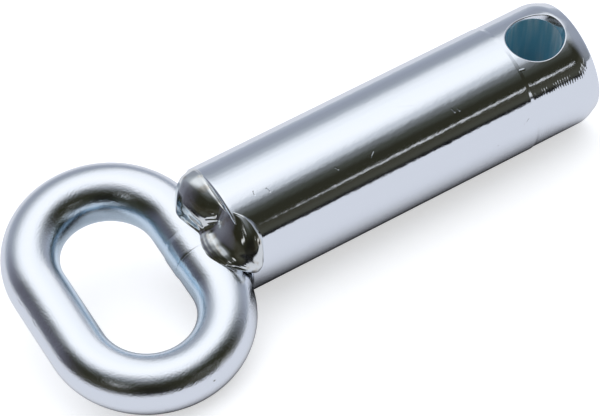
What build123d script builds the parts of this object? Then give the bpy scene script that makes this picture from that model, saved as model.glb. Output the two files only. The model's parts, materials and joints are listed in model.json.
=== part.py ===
from build123d import *
import os
from math import asin, cos, degrees, radians, sin, tan

# Pivot pin with a pull handle: a plated round bar with a cross hole at its free end, whose
# other end is welded to the side of a closed chain link. All lengths are in millimetres.
#
# The origin is the centre of the cross hole, on the shank's axis. +X runs along the shank
# to its free end and +Z is up. The pin lies as it would on a bench, on its shank and on one
# end of its link, so the link's plane leans about the X axis by the angle that this gives.

# Shank
shank_radius = 15.0
shank_length = 92.0
turned_radius = 14.85  # lead-in skimmed at the free end
turned_length = 17.4
end_chamfer_depth = 1.55  # taken off the radius
end_chamfer_length = 3.5
cross_hole_radius = 6.0
cross_hole_to_end = 9.8  # from the hole's axis to the free end
countersink_radius = 7.1  # at the mouth, where it meets the top of the shank
countersink_angle = 60.0  # included angle of the tool
tool_overrun = 3.0  # cutting tools run on this far past the shank

# Chain link
bar_radius = 6.5
bend_radius = 17.0  # of the bar's centreline at both ends
straight_length = 17.4
link_offset = 2.2  # the link's centre lies this far from the shank's axis, on its resting side
root_gap = 0.25  # between the link's bar and the shank's end, left when they were clamped
collar_radius = 6.9  # upset left by the link's own butt weld
collar_width = 4.6
collar_shift = 0.5  # the upset stands out on the eye side only
collar_from_axis = 2.2  # along the link, from the shank's axis towards the resting side

# Weld metal: each bead is two runs that follow the rim of the shank. A run is a round
# sausage whose spine is an arc about the shank's axis. Each run has its spine's depth below
# the shank's surface, its own radius, how far its spine lies before the shank's end, and its
# first and last angles from the link's normal towards the link's resting side.
front_runs = [
    (4.7, 5.1, 1.2, -52.0, 8.0),
    (3.5, 6.0, 0.4, 39.0, 60.0),
]
back_runs = [
    (5.4, 4.9, 1.4, -46.0, 2.0),
    (5.6, 5.2, 1.2, 22.0, 50.0),
]

# Places along X
free_end_x = cross_hole_to_end
link_end_x = free_end_x - shank_length
bar_axis_x = link_end_x - root_gap - bar_radius
link_centre_x = bar_axis_x - bend_radius

# The resting end of the link is this far from the shank's axis, and touches the bench when
# the link leans until that end's underside is as low as the shank's.
resting_reach = link_offset + straight_length / 2 + bend_radius
lean = degrees(asin((shank_radius - bar_radius) / resting_reach))

# The link's plane: x runs from the eye to the shank, y away from the resting side.
link_plane = Plane(
    origin=(link_centre_x, 0, 0),
    x_dir=(1, 0, 0),
    z_dir=(0, -sin(radians(lean)), cos(radians(lean))),
)
link_middle = Plane(
    origin=link_plane.from_local_coords((0, -link_offset, 0)),
    x_dir=link_plane.x_dir,
    z_dir=link_plane.z_dir,
)
hole_plane = Plane(origin=(0, 0, 0), x_dir=link_plane.x_dir, z_dir=link_plane.z_dir)


def countersink_tool(side):
    """A cone on the cross hole's axis that opens from the bore past the shank's surface."""
    slope = tan(radians(countersink_angle / 2))
    mouth_height = turned_radius
    bore_edge_height = mouth_height - (countersink_radius - cross_hole_radius) / slope
    top_height = mouth_height + tool_overrun
    top_radius = countersink_radius + tool_overrun * slope
    with BuildPart(mode=Mode.PRIVATE) as tool:
        with BuildSketch(Plane(origin=(0, 0, 0), x_dir=hole_plane.x_dir, z_dir=-hole_plane.y_dir)):
            Polygon(
                (0, side * bore_edge_height),
                (cross_hole_radius, side * bore_edge_height),
                (top_radius, side * top_height),
                (0, side * top_height),
                align=None,
            )
        revolve(axis=Axis(hole_plane.origin, hole_plane.z_dir))
    return tool.part


with BuildPart() as pin_shank:
    with BuildSketch(Plane.YZ.offset(link_end_x)):
        Circle(shank_radius)
    extrude(amount=shank_length - turned_length)
    with BuildSketch(Plane.YZ.offset(free_end_x - turned_length)):
        Circle(turned_radius)
    extrude(amount=turned_length)
    end_face = pin_shank.faces().sort_by(Axis.X)[-1]
    chamfer(end_face.edge(), length=end_chamfer_depth, length2=end_chamfer_length, reference=end_face)
    with BuildSketch(hole_plane):
        Circle(cross_hole_radius)
    extrude(amount=2 * shank_radius, both=True, mode=Mode.SUBTRACT)
    add(countersink_tool(1), mode=Mode.SUBTRACT)
    add(countersink_tool(-1), mode=Mode.SUBTRACT)

# The link is one bar bent to a stadium and closed by a butt weld in the straight beside the
# shank. The weld's upset is a barrel that breaks out of the bar on the eye's side only.
with BuildPart() as link_handle:
    with BuildLine(link_middle) as link_line:
        half = straight_length / 2
        near_straight = Line((bend_radius, -half), (bend_radius, half))
        CenterArc((0, half), bend_radius, 0, 180)
        Line((-bend_radius, half), (-bend_radius, -half))
        CenterArc((0, -half), bend_radius, 180, 180)
    with BuildSketch(Plane(near_straight @ 0, z_dir=near_straight % 0)):
        Circle(bar_radius)
    sweep(path=link_line.wire())
    collar_centre = link_plane.from_local_coords((bend_radius - collar_shift, -collar_from_axis, 0))
    with BuildSketch(Plane(origin=collar_centre, x_dir=link_plane.y_dir, z_dir=link_plane.z_dir)):
        with BuildLine():
            shoulder = bar_radius - 2 * collar_shift
            barrel = ThreePointArc(
                (-collar_width / 2, shoulder), (0, collar_radius), (collar_width / 2, shoulder)
            )
            Polyline(barrel @ 1, (collar_width / 2, 0), (-collar_width / 2, 0), barrel @ 0)
        make_face()
    revolve(axis=Axis(collar_centre, link_plane.y_dir))


def weld_run(run, side):
    """One round-ended run of weld on the link's upper (side 1) or lower (side -1) face."""
    spine_depth, run_radius, before_end, start, end = run
    spine_radius = shank_radius - spine_depth
    spine_plane = Plane(
        origin=(link_end_x - before_end, 0, 0),
        x_dir=link_plane.z_dir * side,
        z_dir=(side, 0, 0),
    )
    with BuildPart(mode=Mode.PRIVATE) as sausage:
        with BuildLine(spine_plane):
            spine = CenterArc((0, 0), spine_radius, start, end - start)
        with BuildSketch(Plane(spine @ 0, z_dir=spine % 0)):
            Circle(run_radius)
        sweep(path=spine)
        with Locations(spine @ 0, spine @ 1):
            Sphere(run_radius)
    return sausage.part


# The beads fill the corner between the bar and the shank's end, and stop at both surfaces.
with BuildPart() as weld_front:
    for run in front_runs:
        add(weld_run(run, 1))
    add(pin_shank.part, mode=Mode.SUBTRACT)
    add(link_handle.part, mode=Mode.SUBTRACT)

with BuildPart() as weld_back:
    for run in back_runs:
        add(weld_run(run, -1))
    add(pin_shank.part, mode=Mode.SUBTRACT)
    add(link_handle.part, mode=Mode.SUBTRACT)


pin_shank.part.label = "pin_shank"
link_handle.part.label = "link_handle"
weld_front.part.label = "weld_front"
weld_back.part.label = "weld_back"

os.makedirs("parts", exist_ok=True)
export_step(pin_shank.part, "parts/pin_shank.step")
export_step(link_handle.part, "parts/link_handle.step")
export_step(weld_front.part, "parts/weld_front.step")
export_step(weld_back.part, "parts/weld_back.step")
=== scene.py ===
import bmesh
import bpy
import json
import math
import numpy as np
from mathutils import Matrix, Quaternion, Vector


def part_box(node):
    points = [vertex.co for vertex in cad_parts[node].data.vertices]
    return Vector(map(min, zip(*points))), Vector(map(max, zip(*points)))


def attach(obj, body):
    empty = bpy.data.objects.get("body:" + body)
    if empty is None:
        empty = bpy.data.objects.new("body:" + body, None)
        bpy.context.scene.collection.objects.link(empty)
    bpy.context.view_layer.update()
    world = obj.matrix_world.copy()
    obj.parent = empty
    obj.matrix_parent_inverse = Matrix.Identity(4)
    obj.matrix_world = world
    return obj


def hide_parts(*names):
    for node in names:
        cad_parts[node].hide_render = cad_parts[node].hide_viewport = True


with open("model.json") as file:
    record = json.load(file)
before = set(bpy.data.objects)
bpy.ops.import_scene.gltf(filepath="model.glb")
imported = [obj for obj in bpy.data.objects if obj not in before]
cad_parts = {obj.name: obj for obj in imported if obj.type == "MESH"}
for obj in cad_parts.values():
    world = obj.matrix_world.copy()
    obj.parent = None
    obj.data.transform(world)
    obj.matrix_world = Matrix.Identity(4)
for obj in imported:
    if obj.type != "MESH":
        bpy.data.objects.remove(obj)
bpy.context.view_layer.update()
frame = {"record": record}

mm = 0.001
mounts = {mount["name"]: mount for mount in frame["record"]["mounts"]}

# The link lies in the plane across the cross hole. alongShank, alongLink and linkNormal are
# the three directions everything is placed by; the link's resting side is minus alongLink.
alongShank = Vector((1, 0, 0))
linkNormal = Vector(mounts["cross_hole"]["axis"]).normalized()
alongLink = linkNormal.cross(alongShank)
shankLow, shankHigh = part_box("pin_shank")
linkLow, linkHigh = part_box("link_handle")
shankRadius = mounts["shank"]["dims"]["r_mm"] * mm - 0.01 * mm
weldedEnd = shankLow.x
freeEnd = shankHigh.x
floorHeight = min(shankLow.z, linkLow.z)


def linear(red, green, blue):
    def channel(value):
        value = value / 255
        return value / 12.92 if value <= 0.04045 else ((value + 0.055) / 1.055) ** 2.4
    return (channel(red), channel(green), channel(blue), 1.0)


def addNode(tree, kind, *links, **settings):
    # links feed the node's inputs in order; a socket is linked, a plain value is set
    node = tree.nodes.new(kind)
    for name, value in settings.items():
        setattr(node, name, value)
    for place, value in enumerate(links):
        if value is not None:
            feed(tree, node.inputs[place], value)
    return node


def feed(tree, socket, value):
    if isinstance(value, bpy.types.Node):
        value = value.outputs[0]
    if isinstance(value, bpy.types.NodeSocket):
        tree.links.new(value, socket)
    else:
        socket.default_value = value


def calc(tree, operation, *values, clamp=False):
    # a Math node, whose values may be sockets, nodes or numbers
    kind = "ShaderNodeMath"
    return addNode(tree, kind, *values, operation=operation, use_clamp=clamp).outputs[0]


def rampNode(tree, factor, stops, interpolation="EASE"):
    node = addNode(tree, "ShaderNodeValToRGB", factor)
    node.color_ramp.interpolation = interpolation
    elements = node.color_ramp.elements
    while len(elements) < len(stops):
        elements.new(0.5)
    for element, (place, colour) in zip(elements, stops):
        element.position = place
        element.color = colour
    return node.outputs[0]


def mixColour(tree, share, first, second):
    mix = addNode(tree, "ShaderNodeMix", data_type="RGBA")
    for place, value in ((0, share), (6, first), (7, second)):
        feed(tree, mix.inputs[place], value)
    return mix.outputs[2]


def smoothShare(tree, value, low, high):
    # 0 at low and 1 at high, eased
    kind = "ShaderNodeMapRange"
    return addNode(tree, kind, value, low, high, interpolation_type="SMOOTHSTEP").outputs[0]


def dotValue(tree, vector, way):
    kind = "ShaderNodeVectorMath"
    return addNode(tree, kind, vector, way, operation="DOT_PRODUCT").outputs["Value"]


def makeMesh(name, points, faces, material, smooth=True):
    mesh = bpy.data.meshes.new(name)
    mesh.from_pydata([tuple(point) for point in points], [], faces)
    mesh.validate()
    for polygon in mesh.polygons:
        polygon.use_smooth = smooth
    mesh.materials.append(material)
    piece = bpy.data.objects.new(name, mesh)
    bpy.context.scene.collection.objects.link(piece)
    return piece


cameraView = {
    "lookAt": (-64.24 * mm, -5.23 * mm, 0.0),
    "azimuth": -22.56,
    "elevation": 40.69,
    "roll": -11.56,
    "distance": 635.1 * mm,
    "lens": 173.83,
    "sensor": 36.0,
}


def makeCamera(view):
    azimuth = math.radians(view["azimuth"])
    elevation = math.radians(view["elevation"])
    back = Vector((
        math.sin(azimuth) * math.cos(elevation),
        -math.cos(azimuth) * math.cos(elevation),
        math.sin(elevation),
    ))
    data = bpy.data.cameras.new("camera")
    data.lens = view["lens"]
    data.sensor_width = view["sensor"]
    data.clip_start = 0.01
    data.clip_end = 20
    camera = bpy.data.objects.new("camera", data)
    bpy.context.scene.collection.objects.link(camera)
    camera.location = Vector(view["lookAt"]) + back * view["distance"]
    camera.rotation_mode = "QUATERNION"
    roll = Quaternion((0, 0, 1), math.radians(view["roll"]))
    camera.rotation_quaternion = (-back).to_track_quat("-Z", "Y") @ roll
    bpy.context.scene.camera = camera


makeCamera(cameraView)
bpy.context.scene.view_settings.view_transform = "Standard"
print("camera made")


# A light tent that is open towards the front: white overhead and at the back right, and a dim
# room in front. Ramp places are the sine of the elevation.
tent = {
    "roomSide": [
        (0.00, linear(10, 12, 14)),
        (0.03, linear(20, 21, 22)),
        (0.06, linear(44, 44, 40)),
        (0.10, linear(64, 64, 57)),
        (0.15, linear(68, 68, 60)),
        (0.28, linear(60, 59, 50)),
        (0.42, linear(44, 44, 34)),
        (0.58, linear(44, 44, 35)),
        (0.70, linear(66, 68, 62)),
        (0.80, linear(108, 111, 112)),
        (0.88, linear(192, 196, 201)),
        (0.94, linear(240, 242, 245)),
        (1.00, linear(252, 252, 253)),
    ],
    "tentSide": [
        (0.00, linear(178, 184, 192)),
        (0.19, linear(157, 162, 174)),
        (0.35, linear(149, 154, 165)),
        (0.50, linear(151, 156, 165)),
        (0.63, linear(170, 175, 182)),
        (0.74, linear(205, 209, 214)),
        (0.83, linear(233, 236, 240)),
        (0.90, linear(248, 250, 252)),
        (1.00, linear(254, 254, 255)),
    ],
    "tentAzimuth": 65.0,
    "strength": 1.1,
    "softFill": 1.2,
    # soft patches: azimuth, elevation, inner and outer radius, share, colour
    "patches": [
        (35, 42, 8, 24, 0.85, linear(252, 253, 255)),
        (-113, 13, 6, 26, 0.7, linear(14, 14, 15)),
        (-118, 60, 4, 18, 0.6, linear(130, 133, 138)),
        (-141, 33, 2, 6, 0.7, linear(252, 253, 255)),
        (150, 18, 10, 32, 0.6, linear(92, 90, 104)),
    ],
    # thin bright bars: azimuth and elevation of both ends, half thickness, share
    "bars": [
        (-72, 19.6, -61, 25.2, 1.0, 0.75),
        (-56, 3, -42, 9, 3.2, 0.65),
        (-36, 5, -26, 8, 1.0, 0.6),
    ],
}


def direction(azimuth, elevation):
    azimuth, elevation = math.radians(azimuth), math.radians(elevation)
    flat = math.cos(elevation)
    return (flat * math.cos(azimuth), flat * math.sin(azimuth), math.sin(elevation))


def makeWorld(settings):
    world = bpy.data.worlds.new("lightTent")
    bpy.context.scene.world = world
    world.use_nodes = True
    tree = world.node_tree
    tree.nodes.clear()
    towards = addNode(tree, "ShaderNodeTexCoord").outputs["Generated"]
    split = addNode(tree, "ShaderNodeSeparateXYZ", towards)
    flatten = addNode(tree, "ShaderNodeCombineXYZ", split.outputs[0], split.outputs[1], 0.0)
    flat = addNode(tree, "ShaderNodeVectorMath", flatten, operation="NORMALIZE")
    side = addNode(
        tree, "ShaderNodeVectorMath", flat, direction(settings["tentAzimuth"], 0),
        operation="DOT_PRODUCT"
    )
    tentShare = addNode(
        tree, "ShaderNodeMapRange", side.outputs["Value"], -0.25, 0.45,
        interpolation_type="SMOOTHSTEP"
    ).outputs[0]
    room = rampNode(tree, split.outputs[2], settings["roomSide"])
    white = rampNode(tree, split.outputs[2], settings["tentSide"])
    colour = mixColour(tree, tentShare, room, white)
    for azimuth, elevation, inner, outer, share, tint in settings["patches"]:
        near = addNode(
            tree, "ShaderNodeVectorMath", towards, direction(azimuth, elevation),
            operation="DOT_PRODUCT"
        )
        edge = [math.cos(math.radians(angle)) for angle in (outer, inner)]
        share = addNode(
            tree, "ShaderNodeMapRange", near.outputs["Value"], *edge, 0.0, share,
            interpolation_type="SMOOTHSTEP",
        ).outputs[0]
        colour = mixColour(tree, share, colour, tint)
    for startAzimuth, startElevation, endAzimuth, endElevation, half, share in settings["bars"]:
        start = Vector(direction(startAzimuth, startElevation))
        end = Vector(direction(endAzimuth, endElevation))
        off = dotValue(tree, towards, start.cross(end).normalized())
        thin = smoothShare(
            tree, calc(tree, "ABSOLUTE", off), math.radians(half), math.radians(half * 0.6)
        )
        middle = (start + end).normalized()
        reach = middle.dot(start)
        length = smoothShare(tree, dotValue(tree, towards, middle), reach, 1 - (1 - reach) * 0.7)
        share = calc(tree, "MULTIPLY", calc(tree, "MULTIPLY", thin, length), share)
        colour = mixColour(tree, share, colour, linear(252, 253, 255))
    path = addNode(tree, "ShaderNodeLightPath").outputs
    seen = path["Is Camera Ray"]
    fill = calc(tree, "MULTIPLY", path["Is Diffuse Ray"], settings["softFill"])
    lit = addNode(
        tree, "ShaderNodeBackground", colour, calc(tree, "ADD", fill, settings["strength"])
    )
    backdrop = addNode(tree, "ShaderNodeBackground", (1, 1, 1, 1), 1.0)
    shown = addNode(tree, "ShaderNodeMixShader", seen, lit, backdrop)
    addNode(tree, "ShaderNodeOutputWorld", shown)


floorLook = {
    "colour": linear(226, 227, 230),
    "cameraGlow": 0.58,
    "paintedMirrorGlow": linear(220, 222, 229),
    "shadeReach": 60 * mm,
    "shadeRange": (0.22, 0.75),
    "halfSize": 3.0,
    "nearEdge": 0.9,
}


def makeFloor(look):
    # seen in reflections, the board is a painted glow with painted shade: an ambient occlusion node
    # darkens it towards the pin, as soft light would
    material = bpy.data.materials.new("floorBoard")
    material.use_nodes = True
    tree = material.node_tree
    tree.nodes.clear()
    path = addNode(tree, "ShaderNodeLightPath")
    openness = addNode(tree, "ShaderNodeAmbientOcclusion", samples=8)
    feed(tree, openness.inputs["Distance"], look["shadeReach"])
    share = smoothShare(tree, openness.outputs["AO"], *look["shadeRange"])
    # painted light: the floor seen in reflections glows, and its painted shade comes from ambient
    # occlusion
    paintedShadedGlow = addNode(tree, "ShaderNodeEmission", look["paintedMirrorGlow"], share)
    board = addNode(tree, "ShaderNodeBsdfDiffuse", look["colour"])
    white = addNode(tree, "ShaderNodeEmission", (1, 1, 1, 1), look["cameraGlow"])
    glowing = addNode(tree, "ShaderNodeAddShader", board, white)
    shown = addNode(tree, "ShaderNodeMixShader", path.outputs["Is Camera Ray"], board, glowing)
    both = addNode(tree, "ShaderNodeMixShader", path.outputs["Is Glossy Ray"], shown, paintedShadedGlow)
    addNode(tree, "ShaderNodeOutputMaterial", both)
    half, near = look["halfSize"], look["nearEdge"]
    corners = [(-half, -near), (half, -near), (half, half), (-half, half)]
    floor = makeMesh(
        "floorPlane", [(x, y, floorHeight) for x, y in corners], [(0, 1, 2, 3)], material,
        smooth=False
    )


makeWorld(tent)
makeFloor(floorLook)
print("surroundings made")


finishes = {
    "shank": {
        "colour": (0.86, 0.90, 0.96, 1.0),
        "roughness": 0.075,
        "stretch": (800.0, 1500.0, 1500.0),
        "detail": 3.0,
        "grainDepth": 0.010 * mm,
    },
    "hole": {
        "colour": (0.60, 0.83, 0.93, 1.0),
        "roughness": 0.42,
        "stretch": (900.0, 900.0, 900.0),
        "detail": 2.0,
        "grainDepth": 0.003 * mm,
    },
    "link": {
        "colour": (0.86, 0.90, 0.96, 1.0),
        "roughness": 0.09,
        "stretch": (2300.0, 2300.0, 2300.0),
        "detail": 4.0,
        "grainDepth": 0.050 * mm,
    },
    "weld": {
        "colour": (0.80, 0.83, 0.84, 1.0),
        "roughness": 0.08,
        "stretch": (900.0, 900.0, 900.0),
        "detail": 2.0,
        "grainDepth": 0.004 * mm,
    },
}


def grainGroup():
    # fine grain of plated steel: a height and a slow change of tone, from a stretched position
    group = bpy.data.node_groups.new("plateGrain", "ShaderNodeTree")
    for name, kind in (("Stretch", "NodeSocketVector"), ("Detail", "NodeSocketFloat")):
        group.interface.new_socket(name, in_out="INPUT", socket_type=kind)
    for name in ("Height", "Tone"):
        group.interface.new_socket(name, in_out="OUTPUT", socket_type="NodeSocketFloat")
    inside = group.nodes.new("NodeGroupInput")
    place = addNode(group, "ShaderNodeTexCoord").outputs["Object"]
    scaled = addNode(group, "ShaderNodeVectorMath", place, inside.outputs[0], operation="MULTIPLY")
    fine = addNode(group, "ShaderNodeTexNoise", scaled, noise_dimensions="3D")
    feed(group, fine.inputs["Scale"], 1.0)
    feed(group, fine.inputs["Detail"], inside.outputs[1])
    feed(group, fine.inputs["Roughness"], 0.6)
    broad = addNode(group, "ShaderNodeTexNoise", place, noise_dimensions="3D")
    feed(group, broad.inputs["Scale"], 90.0)
    feed(group, broad.inputs["Detail"], 3.0)
    outside = group.nodes.new("NodeGroupOutput")
    feed(group, outside.inputs[0], fine.outputs[0])
    feed(group, outside.inputs[1], broad.outputs[0])
    return group


def scratchGroup():
    # one short groove: how far the surface lies below its plain shape, near a line through Centre
    group = bpy.data.node_groups.new("scratchMark", "ShaderNodeTree")
    for name, kind in (
        ("Centre", "NodeSocketVector"), ("Way", "NodeSocketVector"),
        ("Half Length", "NodeSocketFloat"), ("Half Width", "NodeSocketFloat"),
        ("Depth", "NodeSocketFloat"),
    ):
        group.interface.new_socket(name, in_out="INPUT", socket_type=kind)
    group.interface.new_socket("Height", in_out="OUTPUT", socket_type="NodeSocketFloat")
    inside = group.nodes.new("NodeGroupInput").outputs
    place = addNode(group, "ShaderNodeTexCoord").outputs["Object"]
    kind = "ShaderNodeVectorMath"
    gap = addNode(group, kind, place, inside["Centre"], operation="SUBTRACT")
    along = dotValue(group, gap, inside["Way"])
    shortest = calc(group, "MINIMUM", along, inside["Half Length"])
    shortest = calc(
        group, "MAXIMUM", shortest, calc(group, "MULTIPLY", inside["Half Length"], -1.0)
    )
    onLine = addNode(group, kind, inside["Way"], operation="SCALE")
    feed(group, onLine.inputs["Scale"], shortest)
    off = addNode(group, kind, gap, onLine, operation="SUBTRACT")
    away = addNode(group, kind, off, operation="LENGTH").outputs["Value"]
    share = smoothShare(group, away, inside["Half Width"], 0.0)
    height = calc(group, "MULTIPLY", share, calc(group, "MULTIPLY", inside["Depth"], -1.0))
    feed(group, group.nodes.new("NodeGroupOutput").inputs[0], height)
    return group


plateGrain = grainGroup()
scratchMark = scratchGroup()


def markHeights(tree, marks):
    # marks are (centre, way, half length, half width, depth) in metres; their heights are added up
    total = 0.0
    for centre, way, halfLength, halfWidth, depth in marks:
        node = tree.nodes.new("ShaderNodeGroup")
        node.node_tree = scratchMark
        for name, value in (
            ("Centre", centre), ("Way", way), ("Half Length", halfLength),
            ("Half Width", halfWidth), ("Depth", depth),
        ):
            node.inputs[name].default_value = value
        total = calc(tree, "ADD", total, node.outputs[0])
    return total


def frameSplit(tree):
    # distances along the shank, along the link and along the link's normal
    place = addNode(tree, "ShaderNodeTexCoord").outputs["Object"]
    return [dotValue(tree, place, way) for way in (alongShank, alongLink, linkNormal)]


def plateMaterial(name, look, extraHeight=None, change=None):
    material = bpy.data.materials.new(name)
    material.use_nodes = True
    tree = material.node_tree
    shader = tree.nodes["Principled BSDF"]
    shader.inputs["Base Color"].default_value = look["colour"]
    shader.inputs["Metallic"].default_value = 1.0
    grain = tree.nodes.new("ShaderNodeGroup")
    grain.node_tree = plateGrain
    grain.inputs["Stretch"].default_value = look["stretch"]
    grain.inputs["Detail"].default_value = look["detail"]
    rough = look["roughness"]
    spread = addNode(
        tree, "ShaderNodeMapRange", grain.outputs["Tone"], 0.3, 0.7, rough * 0.85, rough * 1.2
    )
    feed(tree, shader.inputs["Roughness"], spread.outputs[0])
    height = calc(tree, "MULTIPLY", grain.outputs["Height"], look["grainDepth"])
    if extraHeight:
        height = calc(tree, "ADD", height, extraHeight(tree))
    if change:
        change(tree, shader, look)
    bump = addNode(tree, "ShaderNodeBump")
    bump.inputs["Strength"].default_value = 1.0
    bump.inputs["Distance"].default_value = 1.0
    feed(tree, bump.inputs["Height"], height)
    feed(tree, shader.inputs["Normal"], bump.outputs[0])
    return material


shank = {
    "endRounding": 0.5 * mm,
    "stepFromEnd": 17.4 * mm,
    "stepLength": 0.8 * mm,
    "stepRounding": 1.2 * mm,
    "turnedRadius": 14.85 * mm,
    "ridgePitch": 0.62 * mm,
    "ridgeDepth": 0.024 * mm,
    "chamferLength": 3.5 * mm,
    "chamferDepth": 1.55 * mm,
    "chamferRounding": 7.0 * mm,
    # small marks on the side towards the eye: distance from the welded end, degrees from the
    # link's normal, degrees the mark turns from the shank's length, half length, half width, depth
    "marks": [
        (74.9, 23, 10, 0.5, 0.34, -0.05),
        (88.9, 23, 80, 0.4, 0.34, -0.05),
        (70.9, 68, 60, 0.7, 0.20, 0.05),
        (71.5, 66, -35, 0.8, 0.20, 0.05),
        (63.6, 77, 0, 0.1, 0.34, 0.07),
        (34.0, 30.5, 58, 0.4, 0.22, 0.035),
        (34.8, 29.5, -38, 0.5, 0.20, 0.040),
        (56.0, 27.5, 75, 0.5, 0.24, 0.06),
        (57.2, 29.0, 75, 0.3, 0.24, 0.06),
        (26.0, 27.3, 60, 0.4, 0.22, 0.05),
        (10.1, 18, 70, 0.5, 0.22, 0.05),
        (7.0, 15, 100, 0.4, 0.22, 0.05),
        (47.0, 6, 25, 1.6, 0.16, 0.02),
        (28.0, 84, -8, 1.2, 0.16, 0.02),
    ],
    "columns": 384,
    "rowLength": 0.9 * mm,
}
hole = {
    "radius": mounts["cross_hole"]["dims"]["r_mm"] * mm,
    "boreHalf": mounts["cross_hole"]["dims"]["length_mm"] * mm / 2,
    "sinkSlope": math.tan(math.radians(30)),
    "past": 3.0 * mm,
    "lipRounding": 0.25 * mm,
    "brokenEdge": 0.30 * mm,
    "brokenRim": 0.20 * mm,
    "columns": 192,
}


def roundCorner(before, corner, after, radius, steps=6):
    # points of the arc that rounds one corner of an outline
    before, corner, after = Vector(before), Vector(corner), Vector(after)
    back, ahead = (before - corner).normalized(), (after - corner).normalized()
    half = back.angle(ahead) / 2
    reach = radius / math.tan(half)
    centre = corner + (back + ahead).normalized() * (radius / math.sin(half))
    start, end = corner + back * reach - centre, corner + ahead * reach - centre
    turn = start.angle_signed(end)
    points = []
    for step in range(steps + 1):
        swing = -turn * step / steps
        cosine, sine = math.cos(swing), math.sin(swing)
        points.append((
            centre.x + start.x * cosine - start.y * sine,
            centre.y + start.x * sine + start.y * cosine,
        ))
    return points


def roundedOutline(corners, longest):
    # corners are (along, radius, rounding); long runs are cut into rows no longer than longest
    points = []
    for place, (along, radius, rounding) in enumerate(corners):
        if rounding and 0 < place < len(corners) - 1:
            before, after = corners[place - 1][:2], corners[place + 1][:2]
            new = roundCorner(before, (along, radius), after, rounding)
        else:
            new = [(along, radius)]
        for point in new:
            if points:
                last = points[-1]
                span = math.dist(last, point)
                rows = max(1, math.ceil(span / longest))
                for row in range(1, rows):
                    share = row / rows
                    points.append((
                        last[0] + (point[0] - last[0]) * share,
                        last[1] + (point[1] - last[1]) * share,
                    ))
            points.append(point)
    return np.array(points)


def lathe(name, outline, columns, axis, across, material):
    # turns an outline of (along, radius) about axis; its first and last points lie on the axis
    axis, across = np.array(axis), np.array(across)
    third = np.cross(axis, across)
    rings = outline[1:-1]
    angles = np.arange(columns) * (2 * math.pi / columns)
    spokes = np.cos(angles)[:, None] * across + np.sin(angles)[:, None] * third
    points = [outline[0][0] * axis]
    for along, radius in rings:
        points.extend(along * axis + radius * spokes)
    points.append(outline[-1][0] * axis)
    faces = []
    last = len(points) - 1
    for column in range(columns):
        beside = (column + 1) % columns
        faces.append((0, 1 + beside, 1 + column))
        for ring in range(len(rings) - 1):
            low, high = 1 + ring * columns, 1 + (ring + 1) * columns
            faces.append((low + column, low + beside, high + beside, high + column))
        top = 1 + (len(rings) - 1) * columns
        faces.append((top + column, top + beside, last))
    return makeMesh(name, points, faces, material)


def outlineNormals(outline):
    # one normal for each point of an outline, pointing away from the axis side
    step = np.diff(outline, axis=0)
    step /= np.linalg.norm(step, axis=1)[:, None]
    sides = np.stack([-step[:, 1], step[:, 0]], axis=1)
    corners = np.vstack([sides[:1], sides[:-1] + sides[1:], sides[-1:]])
    return corners / np.linalg.norm(corners, axis=1)[:, None]


def normalsFromOutline(points, outline, axis, outward):
    # the turned surface's own normal at each point, so that a mirror finish shows no facets
    axis = np.array(axis)
    along = points @ axis
    radial = points - along[:, None] * axis
    radius = np.linalg.norm(radial, axis=1)
    radial /= np.maximum(radius, 1e-9)[:, None]
    flat = np.stack([along, radius], axis=1)
    start, end = outline[:-1], outline[1:]
    run = end - start
    best = np.full(len(flat), 1e9)
    result = np.zeros((len(flat), 2))
    normals = outlineNormals(outline)
    for place in range(len(start)):
        share = np.clip(((flat - start[place]) @ run[place]) / (run[place] @ run[place]), 0, 1)
        gap = np.linalg.norm(start[place] + share[:, None] * run[place] - flat, axis=1)
        closer = gap < best
        best[closer] = gap[closer]
        mixed = normals[place] * (1 - share[:, None]) + normals[place + 1] * share[:, None]
        result[closer] = mixed[closer]
    made = result[:, :1] * axis + result[:, 1:] * radial
    return outward * made / np.linalg.norm(made, axis=1)[:, None]


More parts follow.
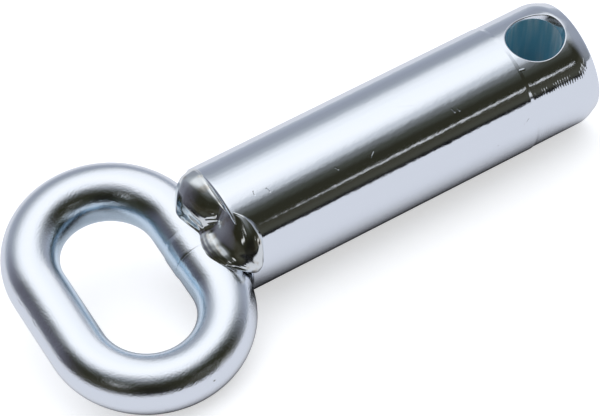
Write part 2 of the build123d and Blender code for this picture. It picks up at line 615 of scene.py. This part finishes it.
def shankRelief(tree):
    # lathe ridges on the skimmed lead-in, the hole's softened rim, and small marks
    x, e2, e3 = frameSplit(tree)
    place = addNode(tree, "ShaderNodeTexCoord").outputs["Object"]
    uneven = addNode(tree, "ShaderNodeTexNoise", place, noise_dimensions="3D")
    feed(tree, uneven.inputs["Scale"], 260.0)
    feed(tree, uneven.inputs["Detail"], 2.0)
    phase = calc(tree, "MULTIPLY", x, 2 * math.pi / shank["ridgePitch"])
    phase = calc(tree, "ADD", phase, calc(tree, "MULTIPLY", uneven.outputs[0], 7.0))
    step = freeEnd - shank["stepFromEnd"]
    zone = smoothShare(tree, x, step, step + 0.4 * mm)
    depth = smoothShare(tree, uneven.outputs[0], 0.25, 0.75)
    depth = calc(tree, "MULTIPLY", calc(tree, "MULTIPLY", zone, depth), shank["ridgeDepth"])
    depth = calc(tree, "MULTIPLY", depth, smoothShare(tree, e2, -9.9 * mm, -10.8 * mm))
    ridges = calc(tree, "MULTIPLY", calc(tree, "SINE", phase), depth)
    ridges = calc(tree, "ADD", ridges, calc(tree, "MULTIPLY", uneven.outputs[0], 0.020 * mm))
    fromHole = calc(
        tree, "SQRT", calc(tree, "ADD", calc(tree, "POWER", x, 2.0), calc(tree, "POWER", e2, 2.0))
    )
    rise = calc(tree, "SUBTRACT", calc(tree, "ABSOLUTE", e3), hole["boreHalf"])
    gap = calc(
        tree, "SUBTRACT", calc(tree, "SUBTRACT", fromHole, hole["radius"]),
        calc(tree, "MULTIPLY", rise, hole["sinkSlope"])
    )
    rim = hole["brokenRim"]
    over = calc(tree, "MAXIMUM", calc(tree, "SUBTRACT", rim, gap), 0.0)
    dip = calc(tree, "DIVIDE", calc(tree, "POWER", over, 2.0), -2.0 * rim)
    marks = []
    for along, degrees, turn, halfLength, halfWidth, depth in shank["marks"]:
        angle, turn = math.radians(degrees), math.radians(turn)
        spoke = linkNormal * math.cos(angle) - alongLink * math.sin(angle)
        aroundShank = -linkNormal * math.sin(angle) - alongLink * math.cos(angle)
        centre = alongShank * (weldedEnd + along * mm) + spoke * (shankRadius - 0.05 * mm)
        way = alongShank * math.cos(turn) + aroundShank * math.sin(turn)
        marks.append((centre, way, halfLength * mm, halfWidth * mm, depth * mm))
    return calc(tree, "ADD", calc(tree, "ADD", ridges, dip), markHeights(tree, marks))


def mouthDepth(tree):
    # how far a point of the hole lies above the start of its broken edge
    _, e2, e3 = frameSplit(tree)
    fromAxis = calc(
        tree, "SQRT", calc(tree, "ADD", calc(tree, "POWER", e2, 2.0), calc(tree, "POWER", e3, 2.0))
    )
    start = shank["turnedRadius"] - hole["brokenEdge"]
    return calc(tree, "MAXIMUM", calc(tree, "SUBTRACT", fromAxis, start), 0.0)


def holeRelief(tree):
    # the edge turns over at the mouth
    over = mouthDepth(tree)
    return calc(tree, "DIVIDE", calc(tree, "POWER", over, 2.0), -2.0 * hole["brokenEdge"])


def holeChange(tree, shader, look):
    # inside the hole the plating is thin and nearly matt, and its pale streaked blue is a painted
    # reflection of the blue light in the bore; the countersink is plated in full
    x, e2, e3 = frameSplit(tree)
    bore = hole["boreHalf"]
    cone = smoothShare(tree, calc(tree, "ABSOLUTE", e3), bore - 0.15 * mm, bore + 0.15 * mm)
    edge = smoothShare(tree, mouthDepth(tree), 0.0, 0.25 * mm)
    share = calc(tree, "MAXIMUM", cone, edge)
    place = addNode(
        tree, "ShaderNodeCombineXYZ", calc(tree, "MULTIPLY", x, 330.0),
        calc(tree, "MULTIPLY", e2, 330.0), calc(tree, "MULTIPLY", e3, 30.0),
    )
    reflectionStreaks = addNode(tree, "ShaderNodeTexNoise", place, noise_dimensions="3D")
    feed(tree, reflectionStreaks.inputs["Scale"], 1.0)
    feed(tree, reflectionStreaks.inputs["Detail"], 3.0)
    reflectionStreak = smoothShare(tree, reflectionStreaks.outputs[0], 0.36, 0.66)
    # painted reflection: streaked blue in place of the reflections on the bore's wall
    inside = mixColour(tree, reflectionStreak, (0.30, 0.64, 0.78, 1.0), (0.84, 0.95, 0.99, 1.0))
    full = finishes["shank"]
    feed(tree, shader.inputs["Base Color"], mixColour(tree, share, inside, full["colour"]))
    for name, inner, outer in (("Metallic", 0.35, 1.0), ("Roughness", look["roughness"], 0.12)):
        level = addNode(tree, "ShaderNodeMapRange", share, 0.0, 1.0, inner, outer)
        feed(tree, shader.inputs[name], level.outputs[0])


def makeShank():
    plated = plateMaterial("platedShank", finishes["shank"], shankRelief)
    bored = plateMaterial("platedHole", finishes["hole"], holeRelief, holeChange)
    step = freeEnd - shank["stepFromEnd"]
    chamferStart = freeEnd - shank["chamferLength"]
    endRadius = shank["turnedRadius"] - shank["chamferDepth"]
    outline = roundedOutline([
        (weldedEnd, 0, 0),
        (weldedEnd, shankRadius, shank["endRounding"]),
        (step - shank["stepLength"], shankRadius, shank["stepRounding"]),
        (step, shank["turnedRadius"], shank["stepRounding"]),
        (chamferStart, shank["turnedRadius"], shank["chamferRounding"]),
        (freeEnd, endRadius, shank["endRounding"]),
        (freeEnd, 0, 0),
    ], shank["rowLength"])
    bar = lathe("pinShankDetail", outline, shank["columns"], alongShank, linkNormal, plated)
    top = hole["boreHalf"] + hole["past"] + shank["chamferDepth"]
    wide = hole["radius"] + (top - hole["boreHalf"]) * hole["sinkSlope"]
    cutterOutline = roundedOutline([
        (-top, 0, 0),
        (-top, wide, 0),
        (-hole["boreHalf"], hole["radius"], hole["lipRounding"]),
        (hole["boreHalf"], hole["radius"], hole["lipRounding"]),
        (top, wide, 0),
        (top, 0, 0),
    ], 0.7 * mm)
    cutter = lathe("holeCutter", cutterOutline, hole["columns"], linkNormal, alongShank, bored)
    cut = bar.modifiers.new("crossHole", "BOOLEAN")
    cut.operation = "DIFFERENCE"
    cut.solver = "EXACT"
    cut.material_mode = "TRANSFER"
    cut.object = cutter
    mesh = bpy.data.meshes.new_from_object(
        bar.evaluated_get(bpy.context.evaluated_depsgraph_get())
    )
    bar.modifiers.clear()
    bar.data = mesh
    bpy.data.objects.remove(cutter)
    points = np.array([mesh.vertices[loop.vertex_index].co for loop in mesh.loops])
    inHole = np.zeros(len(mesh.loops), bool)
    holeSlot = mesh.materials.find(bored.name)
    for polygon in mesh.polygons:
        polygon.use_smooth = True
        if polygon.material_index == holeSlot:
            inHole[list(polygon.loop_indices)] = True
    normals = normalsFromOutline(points, outline, alongShank, 1)
    normals[inHole] = normalsFromOutline(points[inHole], cutterOutline, linkNormal, -1)
    mesh.normals_split_custom_set(normals.tolist())
    print("shank faces", len(mesh.polygons), "hole slot", holeSlot, "in hole", int(inHole.sum()))
    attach(bar, "root")
    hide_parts("pin_shank")
    return bar


makeShank()
print("shank made")


link = {
    "barRadius": 6.5 * mm,
    "bendRadius": 17.0 * mm,
    "straight": 17.4 * mm,
    "offset": 2.2 * mm,
    "alongCount": 420,
    "aroundCount": 120,
    "unevenness": 0.07 * mm,
    "upsetHeight": 0.18 * mm,
    "upsetHalfWidth": 2.9 * mm,
    # marks: place along the shank, along the link and above its plane, way, half length,
    # half width, depth
    "marks": [
        ((-102.7, -33.4, 2.9), (1, 0, 0), 0.15, 0.45, 0.12),
        ((-128.6, 4.5, 3.2), (0, 1, 0), 0.9, 0.35, 0.03),
        ((-128.5, -2.0, 3.4), (0, 1, 0.2), 0.7, 0.30, 0.03),
        ((-111.5, 27.8, 5.2), (1, 0.3, 0), 0.8, 0.14, 0.02),
        ((-120.0, 10.0, 6.0), (0.3, 1, 0), 0.9, 0.14, 0.012),
    ],
    # lines round the butt-welded bar: place along the link, half width, depth
    "rings": [
        (1.0, 0.30, 0.015),
        (-4.8, 0.22, 0.032),
    ],
}
linkCentre = Vector(
    (linkLow.x + link["barRadius"] + link["bendRadius"], 0, 0)
) - alongLink * link["offset"]


def linkTree():
    # a rounded rectangle swept by a round bar, with the butt weld's upset on the shank side
    tree = bpy.data.node_groups.new("chainLink", "GeometryNodeTree")
    tree.is_modifier = True
    face = tree.interface
    for name, kind in (
        ("Bar Radius", "NodeSocketFloat"), ("Bend Radius", "NodeSocketFloat"),
        ("Straight", "NodeSocketFloat"), ("Unevenness", "NodeSocketFloat"),
        ("Upset Height", "NodeSocketFloat"), ("Upset Half Width", "NodeSocketFloat"),
        ("Material", "NodeSocketMaterial"),
    ):
        face.new_socket(name, in_out="INPUT", socket_type=kind)
    face.new_socket("Geometry", in_out="OUTPUT", socket_type="NodeSocketGeometry")
    inside = tree.nodes.new("NodeGroupInput").outputs
    width = calc(tree, "MULTIPLY", inside["Bend Radius"], 2.0)
    height = calc(tree, "ADD", inside["Straight"], width)
    rectangle = tree.nodes.new("GeometryNodeCurvePrimitiveQuadrilateral")
    feed(tree, rectangle.inputs["Width"], width)
    feed(tree, rectangle.inputs["Height"], height)
    bends = tree.nodes.new("GeometryNodeFilletCurve")
    bends.mode = "POLY"
    feed(tree, bends.inputs["Curve"], rectangle.outputs[0])
    feed(tree, bends.inputs["Count"], 96)
    feed(tree, bends.inputs["Radius"], calc(tree, "MULTIPLY", inside["Bend Radius"], 0.99999))
    even = tree.nodes.new("GeometryNodeResampleCurve")
    feed(tree, even.inputs["Curve"], bends.outputs[0])
    feed(tree, even.inputs["Count"], link["alongCount"])
    section = tree.nodes.new("GeometryNodeCurvePrimitiveCircle")
    feed(tree, section.inputs["Resolution"], link["aroundCount"])
    feed(tree, section.inputs["Radius"], inside["Bar Radius"])
    bar = tree.nodes.new("GeometryNodeCurveToMesh")
    feed(tree, bar.inputs["Curve"], even.outputs[0])
    feed(tree, bar.inputs["Profile Curve"], section.outputs[0])
    position = tree.nodes.new("GeometryNodeInputPosition").outputs[0]
    normal = tree.nodes.new("GeometryNodeInputNormal").outputs[0]
    # unevenness of the bent and plated bar, at two lengths
    waves = tree.nodes.new("ShaderNodeTexNoise")
    feed(tree, waves.inputs["Vector"], position)
    feed(tree, waves.inputs["Scale"], 120.0)
    feed(tree, waves.inputs["Detail"], 2.0)
    uneven = calc(
        tree, "MULTIPLY", calc(tree, "SUBTRACT", waves.outputs[0], 0.8), inside["Unevenness"]
    )
    # the upset: a low flat-topped band round the bar at the middle of the shank-side straight
    split = tree.nodes.new("ShaderNodeSeparateXYZ")
    feed(tree, split.inputs[0], position)
    fromMiddle = calc(
        tree, "DIVIDE", calc(tree, "ABSOLUTE", split.outputs[1]), inside["Upset Half Width"]
    )
    band = tree.nodes.new("ShaderNodeMapRange")
    band.interpolation_type = "SMOOTHSTEP"
    for place, value in enumerate((fromMiddle, 1.08, 0.7, 0.0, 1.0)):
        feed(tree, band.inputs[place], value)
    # it stands out towards the eye only, where it could not be dressed off against the shank
    eyeSide = tree.nodes.new("ShaderNodeMapRange")
    eyeSide.interpolation_type = "SMOOTHSTEP"
    fromAxis = calc(tree, "SUBTRACT", inside["Bend Radius"], split.outputs[0])
    offAxis = calc(tree, "DIVIDE", fromAxis, inside["Bar Radius"])
    for place, value in enumerate((offAxis, -0.3, 0.9, 0.0, 1.0)):
        feed(tree, eyeSide.inputs[place], value)
    nearSide = calc(tree, "GREATER_THAN", split.outputs[0], 0.0)
    share = calc(
        tree, "MULTIPLY", calc(tree, "MULTIPLY", band.outputs[0], eyeSide.outputs[0]), nearSide
    )
    upset = calc(tree, "MULTIPLY", share, inside["Upset Height"])
    push = tree.nodes.new("ShaderNodeVectorMath")
    push.operation = "SCALE"
    feed(tree, push.inputs[0], normal)
    feed(tree, push.inputs["Scale"], calc(tree, "ADD", uneven, upset))
    shaped = tree.nodes.new("GeometryNodeSetPosition")
    feed(tree, shaped.inputs["Geometry"], bar.outputs[0])
    feed(tree, shaped.inputs["Offset"], push.outputs[0])
    placed = tree.nodes.new("GeometryNodeTransform")
    feed(tree, placed.inputs["Geometry"], shaped.outputs[0])
    placed.inputs["Translation"].default_value = linkCentre
    lean = math.atan2(alongLink.z, alongLink.y)
    placed.inputs["Rotation"].default_value = (lean, 0, 0)
    smooth = tree.nodes.new("GeometryNodeSetShadeSmooth")
    feed(tree, smooth.inputs[0], placed.outputs[0])
    real = tree.nodes.new("GeometryNodeRealizeInstances")
    feed(tree, real.inputs[0], smooth.outputs[0])
    finish = tree.nodes.new("GeometryNodeSetMaterial")
    feed(tree, finish.inputs["Geometry"], real.outputs[0])
    feed(tree, finish.inputs["Material"], inside["Material"])
    feed(tree, tree.nodes.new("NodeGroupOutput").inputs[0], finish.outputs[0])
    return tree


def fromTree(name, tree, values):
    # runs a node tree on an empty mesh and keeps the result as a plain mesh
    piece = bpy.data.objects.new(name, bpy.data.meshes.new(name))
    bpy.context.scene.collection.objects.link(piece)
    modifier = piece.modifiers.new("shape", "NODES")
    modifier.node_group = tree
    for item in tree.interface.items_tree:
        if item.item_type == "SOCKET" and item.in_out == "INPUT":
            modifier[item.identifier] = values[item.name]
    piece.update_tag()
    shaped = piece.evaluated_get(bpy.context.evaluated_depsgraph_get())
    mesh = bpy.data.meshes.new_from_object(shaped)
    piece.modifiers.clear()
    piece.data = mesh
    return piece


def linkRelief(tree):
    # pits, dents, scratches, and the lines round the butt-welded bar
    marks = []
    for (x, e2, e3), way, halfLength, halfWidth, depth in link["marks"]:
        centre = (alongShank * x + alongLink * e2 + linkNormal * e3) * mm
        way = (alongShank * way[0] + alongLink * way[1] + linkNormal * way[2]).normalized()
        marks.append((centre, way, halfLength * mm, halfWidth * mm, depth * mm))
    total = markHeights(tree, marks)
    x, e2, e3 = frameSplit(tree)
    nearSide = smoothShare(tree, x, linkCentre.x + 8 * mm, linkCentre.x + 12 * mm)
    for place, halfWidth, depth in link["rings"]:
        away = calc(tree, "ABSOLUTE", calc(tree, "SUBTRACT", e2, place * mm))
        groove = calc(tree, "MULTIPLY", smoothShare(tree, away, halfWidth * mm, 0.0), -depth * mm)
        total = calc(tree, "ADD", total, calc(tree, "MULTIPLY", groove, nearSide))
    return total


def linkChange(tree, shader, look):
    # the sheltered inner side of the link is painted bluer: a painted reflection of the blue light
    # it sees there
    x, e2, _ = frameSplit(tree)
    across = calc(tree, "SUBTRACT", x, linkCentre.x)
    along = calc(tree, "ABSOLUTE", calc(tree, "ADD", e2, link["offset"]))
    along = calc(tree, "MAXIMUM", calc(tree, "SUBTRACT", along, link["straight"] / 2), 0.0)
    away = calc(
        tree, "SQRT",
        calc(tree, "ADD", calc(tree, "POWER", across, 2.0), calc(tree, "POWER", along, 2.0))
    )
    share = smoothShare(tree, away, link["bendRadius"] - 3.4 * mm, link["bendRadius"] - 5.4 * mm)
    # painted reflection: blue tint on the inner side of the link
    paintedSkyReflection = (0.68, 0.82, 0.94, 1.0)
    feed(tree, shader.inputs["Base Color"], mixColour(tree, share, look["colour"], paintedSkyReflection))


def makeLink():
    plated = plateMaterial("platedLink", finishes["link"], linkRelief, linkChange)
    piece = fromTree("linkHandleDetail", linkTree(), {
        "Bar Radius": link["barRadius"],
        "Bend Radius": link["bendRadius"],
        "Straight": link["straight"],
        "Unevenness": link["unevenness"],
        "Upset Height": link["upsetHeight"],
        "Upset Half Width": link["upsetHalfWidth"],
        "Material": plated,
    })
    print("link faces", len(piece.data.polygons))
    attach(piece, "root")
    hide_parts("link_handle")
    return piece


makeLink()
print("link made")


# Each weld is a skin from the link's bar up to the shank. A station is the angle from the
# link's normal towards its resting side, then six points across the weld from link to shank, each
# the distance past the shank's end (minus is towards the link) and from the shank's axis, in
# millimetres. At the first and last station all points lie inside the shank.
weld = {
    "front": [
        (-60, (0.4, 9.0), (0.4, 11.0), (0.4, 12.3), (0.4, 13.2), (0.5, 13.9), (0.7, 14.3)),
        (-54, (-5.0, 9.0), (-3.9, 11.2), (-2.5, 13.2), (-1.1, 14.2), (0.1, 14.7), (0.7, 14.5)),
        (-48, (-6.8, 9.2), (-5.2, 12.4), (-3.2, 14.3), (-1.3, 14.9), (0.1, 15.15), (0.9, 14.7)),
        (-38, (-7.6, 7.8), (-5.6, 12.1), (-3.3, 14.6), (-1.2, 15.2), (0.1, 15.25), (0.95, 14.7)),
        (-28, (-7.6, 6.9), (-5.5, 11.5), (-3.2, 14.0), (-1.1, 14.9), (0.0, 15.1), (0.8, 14.6)),
        (-18, (-7.3, 6.4), (-5.0, 11.0), (-2.9, 13.2), (-1.0, 14.3), (-0.1, 14.6), (0.6, 14.5)),
        (-6, (-6.9, 6.15), (-4.6, 10.2), (-2.6, 12.3), (-1.0, 13.4), (-0.1, 13.7), (0.6, 13.6)),
        (6, (-6.4, 6.15), (-4.3, 9.4), (-2.5, 11.4), (-1.0, 12.6), (-0.1, 13.1), (0.6, 13.2)),
        (16, (-6.2, 6.3), (-4.1, 8.6), (-2.4, 10.4), (-1.0, 12.2), (-0.1, 13.5), (0.6, 13.8)),
        (22, (-6.4, 6.6), (-4.4, 8.2), (-2.6, 10.0), (-0.9, 12.8), (0.6, 15.1), (1.4, 14.6)),
        (28, (-6.8, 7.0), (-5.2, 8.3), (-3.3, 9.6), (-0.9, 13.4), (1.8, 15.8), (3.0, 14.6)),
        (36, (-7.2, 7.7), (-5.4, 9.3), (-3.4, 10.7), (-0.8, 14.4), (2.4, 16.2), (4.3, 14.6)),
        (45, (-7.4, 8.8), (-5.5, 10.7), (-3.4, 12.2), (-0.7, 15.4), (2.8, 16.6), (4.7, 14.6)),
        (54, (-7.2, 10.7), (-5.2, 12.8), (-3.2, 14.1), (-0.5, 16.3), (2.8, 16.9), (4.6, 14.6)),
        (62, (-6.2, 12.9), (-4.4, 14.6), (-2.6, 15.6), (0.0, 16.9), (2.5, 17.0), (4.0, 14.6)),
        (69, (-3.6, 14.0), (-2.4, 15.9), (-1.0, 17.0), (0.6, 17.5), (2.2, 17.0), (3.0, 14.6)),
        (75, (-1.6, 13.6), (-0.9, 15.4), (-0.2, 16.4), (0.6, 16.7), (1.5, 16.1), (2.0, 14.5)),
        (80, (0.4, 12.5), (0.5, 13.2), (0.6, 13.8), (0.8, 14.2), (1.0, 14.3), (1.2, 14.2)),
    ],
    "back": [
        (-58, (0.4, 9.0), (0.4, 11.0), (0.4, 12.0), (0.4, 12.8), (0.5, 13.3), (0.7, 13.5)),
        (-48, (-4.2, 8.3), (-3.2, 10.6), (-2.1, 12.4), (-1.0, 13.6), (0.0, 14.1), (0.7, 13.9)),
        (-30, (-6.0, 6.8), (-4.0, 10.8), (-2.4, 12.9), (-1.1, 14.0), (0.0, 14.4), (0.7, 14.2)),
        (-10, (-6.2, 6.15), (-4.0, 10.2), (-2.4, 12.4), (-1.0, 13.7), (0.0, 14.2), (0.7, 14.0)),
        (8, (-6.2, 6.15), (-4.0, 9.2), (-2.4, 11.2), (-1.0, 12.6), (0.0, 13.4), (0.7, 13.4)),
        (20, (-6.2, 6.4), (-4.0, 9.8), (-2.4, 12.0), (-1.0, 13.5), (0.0, 14.2), (0.7, 14.1)),
        (40, (-6.2, 7.8), (-4.0, 11.0), (-2.4, 12.9), (-1.0, 14.0), (0.0, 14.5), (0.7, 14.3)),
        (56, (-5.9, 10.7), (-3.8, 12.8), (-2.2, 13.8), (-0.9, 14.3), (0.1, 14.5), (0.7, 14.3)),
        (68, (0.4, 10.5), (0.4, 11.5), (0.4, 12.5), (0.4, 13.2), (0.5, 13.6), (0.7, 13.7)),
    ],
    "smoothing": 3.0,
    # chevron ripples where the runs meet: angle and spread, distance and spread, pitch, depth
    "ripples": (14, 7, -2.2, 1.6, 0.95, 0.030),
    # fine lines along the second lobe: angle and spread, distance and spread, pitch, depth
    "lines": (42, 10, 1.0, 2.2, 0.80, 0.010),
    # low rolls of metal where the weld meets the link: reach, pitch, depth
    "rolls": (1.1, 0.75, 0.05),
    "toeGroove": 0.10,
    "lumpDepth": 0.05,
    "rows": 300,
    "across": 110,
}


def smoothRows(stations, rows):
    # stations spread over even angles, with their corners eased
    stations = np.array([[station[0], *np.ravel(station[1:])] for station in stations])
    angle = np.linspace(stations[0, 0], stations[-1, 0], rows)
    even = np.stack(
        [np.interp(angle, stations[:, 0], column) for column in stations[:, 1:].T], axis=1
    )
    half = max(1, round(weld["smoothing"] / (angle[1] - angle[0])))
    kernel = np.hanning(2 * half + 3)[1:-1]
    kernel /= kernel.sum()
    padded = np.pad(even, ((half, half), (0, 0)), mode="edge")
    eased = np.stack([np.convolve(column, kernel, mode="valid") for column in padded.T], axis=1)
    return angle, eased.reshape(rows, -1, 2)


def throughPoints(points, count):
    # a smooth curve through the points of every row; points are (row, point, coordinate)
    first, last = 2 * points[:, :1] - points[:, 1:2], 2 * points[:, -1:] - points[:, -2:-1]
    points = np.concatenate([first, points, last], axis=1)
    place = np.linspace(0, points.shape[1] - 3, count)
    start = np.minimum(place.astype(int), points.shape[1] - 4)
    t = (place - start)[None, :, None]
    a, b, c, d = (points[:, start + step] for step in range(4))
    return 0.5 * (
        2 * b + (c - a) * t + (2 * a - 5 * b + 4 * c - d) * t**2 + (3 * b - a - 3 * c + d) * t**3
    )


def lump(points, scale, seed):
    # smooth bumps from a few crossed waves
    rng = np.random.default_rng(seed)
    total = np.zeros(points.shape[:-1])
    for wave in range(7):
        way = rng.normal(size=3)
        way /= np.linalg.norm(way)
        total += np.sin(points @ way * scale * rng.uniform(0.6, 1.6) + rng.uniform(0, 6.28))
    return total / 7


def near(value, middle, spread):
    return np.exp(-((value - middle) / spread) ** 2)


def weldSkin(stations, side, seed):
    angle, rows = smoothRows(stations, weld["rows"])
    across = throughPoints(rows, weld["across"])
    past, radius = across[..., 0], across[..., 1].copy()
    turn = angle[:, None]
    arc = np.radians(turn) * 13.0
    middle, spread, place, reach, pitch, depth = weld["ripples"]
    wave = np.sin((arc + 0.9 * np.abs(past + 2.0)) * 2 * math.pi / pitch)
    radius += wave * depth * near(turn, middle, spread) * near(past, place, reach)
    middle, spread, place, reach, pitch, depth = weld["lines"]
    wave = np.sin((past + 0.15 * arc) * 2 * math.pi / pitch)
    radius += wave * depth * near(turn, middle, spread) * near(past, place, reach)
    reach, pitch, depth = weld["rolls"]
    fromLink = past - past[:, :1]
    radius += depth * np.sin(fromLink * 2 * math.pi / pitch) * np.exp(-fromLink / reach)
    share = np.linspace(0, 1, weld["across"])[None, :]
    radius -= weld["toeGroove"] * near(share, 0.80, 0.035)
    radians = np.radians(turn)
    up, rest = np.array(linkNormal) * side, -np.array(alongLink)
    outward = np.cos(radians)[..., None] * up + np.sin(radians)[..., None] * rest
    points = outward * radius[..., None] + np.array(alongShank) * (past + weldedEnd / mm)[..., None]
    points = points + outward * (lump(points, 1.3, seed) * weld["lumpDepth"])[..., None]
    # the skin is closed behind, through the shank's end
    inner = []
    for x, r in ((0.5, 11.0), (0.3, 8.0)):
        inner.append(outward[:, 0] * r + np.array(alongShank) * (x + weldedEnd / mm))
    return np.concatenate([points, np.stack(inner, axis=1)], axis=1) * mm


def makeWeld(name, stations, side, node, seed, material):
    grid = weldSkin(stations, side, seed)
    rows, columns = grid.shape[:2]
    index = np.arange(rows * columns).reshape(rows, columns)
    faces = []
    for row in range(rows - 1):
        for column in range(columns):
            beside = (column + 1) % columns
            faces.append(tuple(int(corner) for corner in (
                index[row, column], index[row + 1, column], index[row + 1, beside],
                index[row, beside]
            )))
    faces.append(tuple(int(corner) for corner in index[0]))
    faces.append(tuple(int(corner) for corner in index[-1][::-1]))
    piece = makeMesh(name, grid.reshape(-1, 3), faces, material)
    turnOutward(piece.data)
    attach(piece, "root")
    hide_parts(node)
    return piece


def turnOutward(mesh):
    shape = bmesh.new()
    shape.from_mesh(mesh)
    bmesh.ops.triangulate(shape, faces=[face for face in shape.faces if len(face.verts) > 4])
    bmesh.ops.recalc_face_normals(shape, faces=shape.faces)
    shape.to_mesh(mesh)
    shape.free()


def weldChange(tree, shader, look):
    # a little brown staining in patches over the weld, where the plating is thin
    place = addNode(tree, "ShaderNodeTexCoord").outputs["Object"]
    noise = addNode(tree, "ShaderNodeTexNoise", place, noise_dimensions="3D")
    feed(tree, noise.inputs["Scale"], 420.0)
    feed(tree, noise.inputs["Detail"], 2.0)
    share = calc(tree, "MULTIPLY", smoothShare(tree, noise.outputs[0], 0.52, 0.68), 0.55)
    heatStain = (0.62, 0.56, 0.46, 1.0)
    feed(tree, shader.inputs["Base Color"], mixColour(tree, share, look["colour"], heatStain))


weldMetal = plateMaterial("platedWeld", finishes["weld"], None, weldChange)
makeWeld("weldFrontDetail", weld["front"], 1, "weld_front", 3, weldMetal)
makeWeld("weldBackDetail", weld["back"], -1, "weld_back", 11, weldMetal)
print("weld made")
